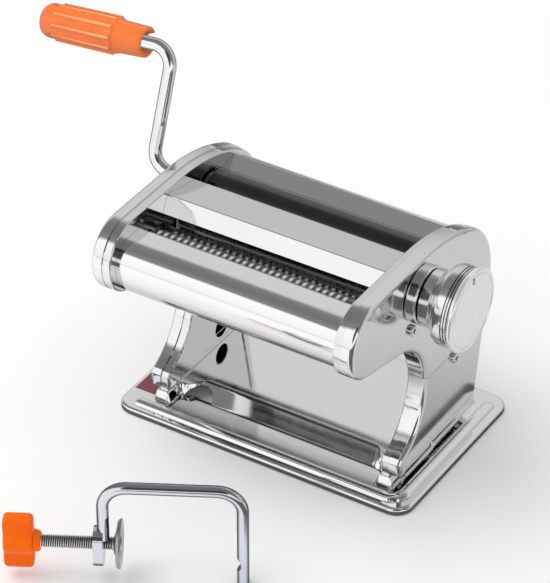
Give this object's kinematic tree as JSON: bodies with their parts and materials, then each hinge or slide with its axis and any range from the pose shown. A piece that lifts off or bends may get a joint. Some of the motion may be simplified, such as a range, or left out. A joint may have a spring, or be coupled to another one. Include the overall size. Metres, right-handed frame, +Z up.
{
  "type": "roller pasta machine",
  "caption": "Hand-cranked roller pasta machine with noodle cutters, gap dial, removable crank with an orange grip and a screw table clamp beside it.",
  "frame": {"origin": "middle of the base plate on the table plane, on which the rubber feet stand", "axes": "+Z up, +X towards the dial side, -Y towards the nose where the cutters are"},
  "size_m": [0.3238, 0.2928, 0.2069],
  "materials": {
    "chrome_sheet": "polished",
    "frame_steel": "polished",
    "chrome_turned": "polished",
    "bright_steel": "satin",
    "roller_steel": "polished",
    "gear_steel": "satin",
    "bush_brass": "satin",
    "dial_alloy": "polished",
    "mark_dark": "matt",
    "orange_plastic": "semi-gloss",
    "black_rubber": "matt",
    "label_red": "satin"
  },
  "bodies": {
    "frame": {"base_plate": "chrome_sheet", "rubber_feet": "black_rubber", "base_label": "label_red", "side_frame_right": "frame_steel", "side_frame_left": "frame_steel", "head_cover_right": "chrome_sheet", "head_cover_left": "chrome_sheet", "leg_panel_right": "chrome_sheet", "leg_panel_left": "chrome_sheet", "rear_cover": "chrome_sheet", "centre_guide": "chrome_sheet", "front_cover": "chrome_sheet", "tie_rods": "bright_steel", "tie_nuts": "bright_steel", "cover_screws_right": "bright_steel", "cover_screws_left": "bright_steel", "cover_pillars_right": "bright_steel", "cover_pillars_left": "bright_steel", "foot_screws": "bright_steel", "foot_nuts": "bright_steel", "roller_bushes": "bush_brass", "cutter_bushes": "bush_brass", "socket_bezels": "chrome_turned", "scraper_fixed": "bright_steel", "comb_front": "bright_steel", "comb_rear": "bright_steel", "dial_bush": "bush_brass", "dial_collar": "chrome_turned"},
    "fixed_roller": {"feed_roller_fixed": "roller_steel", "drive_gear": "gear_steel"},
    "carriage": {"bearing_block_right": "bush_brass", "bearing_block_left": "bush_brass", "yoke_bar": "bright_steel", "scraper_moving": "bright_steel"},
    "moving_roller": {"feed_roller_moving": "roller_steel", "driven_gear": "gear_steel"},
    "rear_cutter": {"cutter_roller_rear": "roller_steel", "cutter_gear_rear": "gear_steel"},
    "front_cutter": {"cutter_roller_front": "roller_steel", "cutter_gear_front": "gear_steel"},
    "dial": {"dial_shaft": "bright_steel", "dial_cam": "gear_steel", "dial_stop_washer": "bright_steel", "dial_spring": "bright_steel"},
    "knob": {"dial_knob": "dial_alloy", "dial_cap": "dial_alloy", "dial_mark": "mark_dark"},
    "crank": {"crank_arm": "chrome_turned", "grip_washer": "bright_steel"},
    "grip": {"crank_grip": "orange_plastic"},
    "clamp": {"clamp_bar": "chrome_turned"},
    "clamp_foot": {"clamp_pad": "bright_steel"},
    "clamp_spindle": {"clamp_screw": "bright_steel", "clamp_knob": "orange_plastic"}
  },
  "joints": [
    {"name": "fixed_roller_turn", "type": "hinge", "parent": "frame", "child": "fixed_roller", "pos_m": [0, 0.0052, 0.1295], "axis": [1, 0, 0], "continuous": true},
    {"name": "dial_turn", "type": "hinge", "parent": "frame", "child": "dial", "pos_m": [0.088, -0.022, 0.1295], "axis": [1, 0, 0], "range_deg": [0, 270]},
    {"name": "knob_pull", "type": "slide", "parent": "dial", "child": "knob", "axis": [1, 0, 0], "range_m": [0, 0.004], "stiffness_N_per_m": 1200, "springref_m": -0.0015},
    {"name": "carriage_slide", "type": "slide", "parent": "frame", "child": "carriage", "axis": [0, 1, 0], "range_m": [0, 0.002]},
    {"name": "moving_roller_turn", "type": "hinge", "parent": "carriage", "child": "moving_roller", "pos_m": [0, -0.022, 0.1295], "axis": [1, 0, 0], "continuous": true},
    {"name": "rear_cutter_turn", "type": "hinge", "parent": "frame", "child": "rear_cutter", "pos_m": [0, -0.049, 0.125], "axis": [1, 0, 0], "continuous": true},
    {"name": "front_cutter_turn", "type": "hinge", "parent": "frame", "child": "front_cutter", "pos_m": [0, -0.064, 0.132], "axis": [1, 0, 0], "continuous": true},
    {"name": "crank_pull", "type": "slide", "parent": "fixed_roller", "child": "crank", "axis": [-1, 0, 0], "range_m": [0, 0.016]},
    {"name": "grip_spin", "type": "hinge", "parent": "crank", "child": "grip", "pos_m": [-0.1155, 0.03017, 0.1981], "axis": [-0.9965, -0.0286, -0.0786], "continuous": true},
    {"name": "clamp_lift", "type": "slide", "parent": "frame", "child": "clamp", "axis": [0, 0, 1], "range_m": [0, 0.05]},
    {"name": "clamp_foot_slide", "type": "slide", "parent": "clamp", "child": "clamp_foot", "axis": [0.8788, 0.4772, 0], "range_m": [0, 0.027]},
    {"name": "clamp_screw_turn", "type": "hinge", "parent": "clamp_foot", "child": "clamp_spindle", "pos_m": [-0.01745, -0.19542, 0.0248], "axis": [0.8788, 0.4772, 0], "range_deg": [0, 7776]}
  ],
  "couplings": [
    {"joint": "dial_turn", "follows": "carriage_slide", "rad_per_m": 2356.2},
    {"joint": "moving_roller_turn", "follows": "fixed_roller_turn", "ratio": -1},
    {"joint": "front_cutter_turn", "follows": "rear_cutter_turn", "ratio": -1},
    {"joint": "clamp_screw_turn", "follows": "clamp_foot_slide", "rad_per_m": 5026.5}
  ]
}
